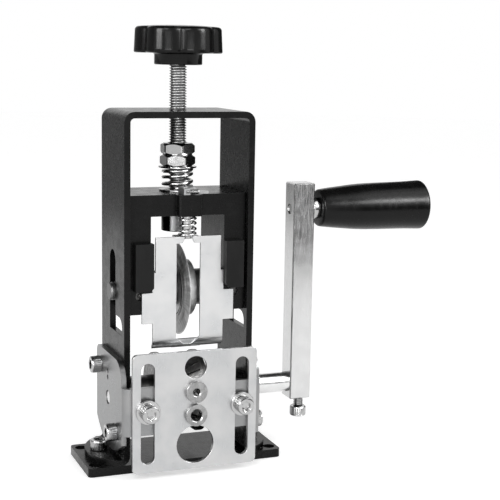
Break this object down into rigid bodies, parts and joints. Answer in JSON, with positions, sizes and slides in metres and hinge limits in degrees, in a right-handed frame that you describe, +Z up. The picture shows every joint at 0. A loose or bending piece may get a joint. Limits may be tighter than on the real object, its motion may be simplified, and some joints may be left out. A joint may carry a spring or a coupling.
{
  "type": "hand crank wire stripper",
  "caption": "Hand crank wire stripper: a bent arch frame on a drilled base, a cranked feed roller and a round blade in a sliding fork that a knob and screw press down",
  "frame": {"origin": "on the table under the middle of the base plate, at the centre of its four mounting holes", "axes": "+Z up along the adjusting screw, +X to the right towards the crank, the cable goes in along +Y"},
  "size_m": [0.2188, 0.071, 0.2524],
  "materials": {
    "black_paint": "semi-gloss black powder coat",
    "black_plastic": "fine satin moulding",
    "plate_steel": "bright zinc, lightly brushed",
    "bright_steel": "bright nickel or zinc",
    "grey_steel": "turned steel",
    "dark_steel": "hardened and blackened",
    "spring_steel": "drawn wire"
  },
  "bodies": {
    "frame": {"base_plate": "black_paint", "arch_frame": "black_paint", "left_bracket": "plate_steel", "right_bracket": "plate_steel", "bracket_bolts": "bright_steel", "foot_bolts": "bright_steel", "clamp_bolts": "bright_steel", "clamp_washers": "bright_steel", "shaft_bushes": "dark_steel"},
    "guide_plate": {"front_plate": "plate_steel", "small_bush": "grey_steel", "large_bush": "grey_steel"},
    "crank": {"crank_shaft": "bright_steel", "feed_roller": "dark_steel", "roller_collars": "dark_steel", "collar_screws": "dark_steel", "crank_arm": "bright_steel", "arm_screw": "bright_steel", "grip_spindle": "bright_steel", "spindle_collar": "bright_steel", "spindle_clip": "grey_steel"},
    "grip": {"handle_grip": "black_plastic", "grip_sleeve": "grey_steel", "grip_plug": "black_plastic"},
    "feed": {"spring_washer": "bright_steel", "main_spring": "spring_steel"},
    "screw": {"adjusting_screw": "bright_steel", "adjusting_knob": "black_plastic", "lock_nuts": "bright_steel", "end_collar": "black_paint", "collar_pin": "grey_steel"},
    "carrier": {"blade_carrier": "black_paint", "guide_blocks": "black_plastic", "block_screws": "dark_steel", "spring_seat": "grey_steel", "blade_axle": "grey_steel", "axle_set_screws": "dark_steel", "axle_spacers": "grey_steel", "stop_plate": "plate_steel", "presser_spring": "spring_steel"},
    "blade": {"cutting_blade": "dark_steel", "blade_ring": "dark_steel", "ring_screws": "dark_steel"},
    "presser": {"presser_plate": "plate_steel", "guide_pin": "grey_steel", "pin_keeper": "plate_steel", "keeper_screw": "bright_steel"}
  },
  "joints": [
    {"name": "plate_height", "type": "slide", "parent": "frame", "child": "guide_plate", "axis": [0, 0, 1], "range_m": [-0.003, 0.024]},
    {"name": "crank_turn", "type": "hinge", "parent": "frame", "child": "crank", "pos_m": [0, 0, 0.0393], "axis": [1, 0, 0], "continuous": true},
    {"name": "grip_spin", "type": "hinge", "parent": "crank", "child": "grip", "pos_m": [0.125, 0, 0.1458], "axis": [1, 0, 0], "continuous": true},
    {"name": "screw_feed", "type": "slide", "parent": "frame", "child": "feed", "axis": [0, 0, 1], "range_m": [-0.015, 0.012]},
    {"name": "knob_turn", "type": "hinge", "parent": "feed", "child": "screw", "pos_m": [0, 0, 0.205], "axis": [0, 0, 1], "range_deg": [-3601, 2881]},
    {"name": "blade_float", "type": "slide", "parent": "feed", "child": "carrier", "axis": [0, 0, 1], "range_m": [0, 0.003], "stiffness_N_per_m": 8000, "springref_m": -0.002, "deforming": ["main_spring"]},
    {"name": "blade_spin", "type": "hinge", "parent": "carrier", "child": "blade", "pos_m": [0, 0, 0.1018], "axis": [1, 0, 0], "continuous": true},
    {"name": "presser_slide", "type": "slide", "parent": "carrier", "child": "presser", "axis": [0, 0, 1], "range_m": [0, 0.0012], "stiffness_N_per_m": 1500, "springref_m": -0.003, "deforming": ["presser_spring"]}
  ],
  "couplings": [
    {"joint": "knob_turn", "follows": "screw_feed", "rad_per_m": 4188.8}
  ]
}
